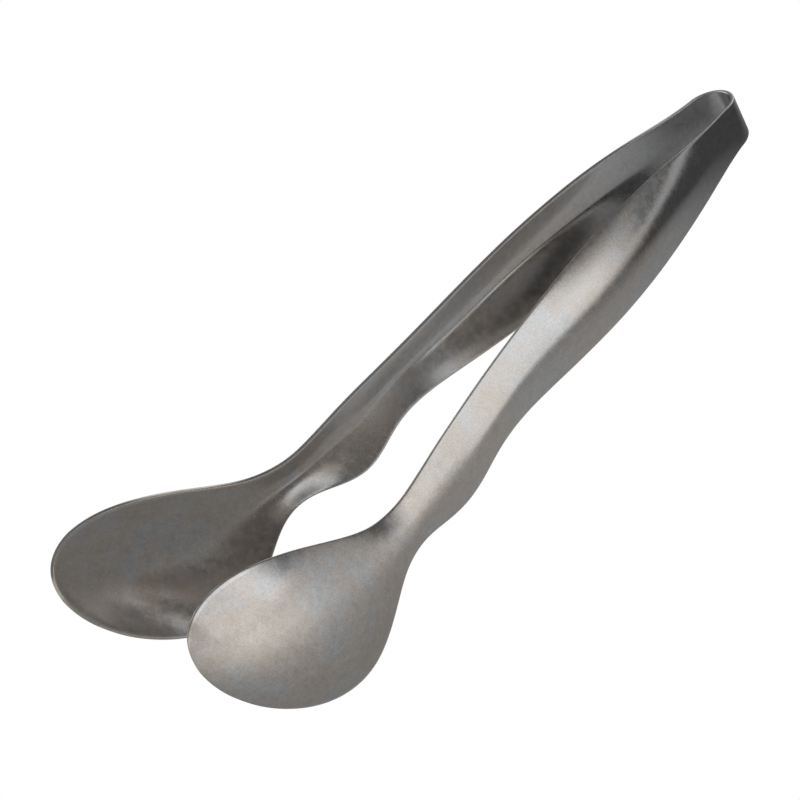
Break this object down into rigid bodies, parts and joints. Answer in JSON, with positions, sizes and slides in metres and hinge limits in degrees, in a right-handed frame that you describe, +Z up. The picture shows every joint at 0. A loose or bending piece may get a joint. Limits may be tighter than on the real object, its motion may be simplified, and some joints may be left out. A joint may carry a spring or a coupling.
{
  "type": "kitchen tongs",
  "caption": "One-piece sprung serving tongs: two creased sheet-steel arms with spoon-shaped bowls facing each other, joined by a small round bow.",
  "frame": {"origin": "middle of the bounding box, on the surface that the tongs lie on", "axes": "+Z up with the tongs lying on their lower edges, +Y from the bowls towards the spring bow, +X from the left arm to the right arm"},
  "size_m": [0.0772, 0.2388, 0.06],
  "materials": {
    "worn_steel": "worn satin with a brown patina"
  },
  "bodies": {
    "bow": {"spring_bow": "worn_steel"},
    "left_arm": {"left_shank": "worn_steel", "left_handle": "worn_steel", "left_neck": "worn_steel", "left_bowl": "worn_steel"},
    "right_arm": {"right_shank": "worn_steel", "right_handle": "worn_steel", "right_neck": "worn_steel", "right_bowl": "worn_steel"}
  },
  "joints": [
    {"name": "left_arm_squeeze", "type": "hinge", "parent": "bow", "child": "left_arm", "pos_m": [0, 0.11104, 0.00951], "axis": [0, 0.0789, 0.9969], "range_deg": [-2, 7.4], "stiffness_Nm_per_rad": 8},
    {"name": "right_arm_squeeze", "type": "hinge", "parent": "bow", "child": "right_arm", "pos_m": [0, 0.11104, 0.00951], "axis": [0, -0.0789, -0.9969], "range_deg": [-2, 7.4], "stiffness_Nm_per_rad": 8}
  ],
  "couplings": [
    {"joint": "right_arm_squeeze", "follows": "left_arm_squeeze", "ratio": 1}
  ]
}
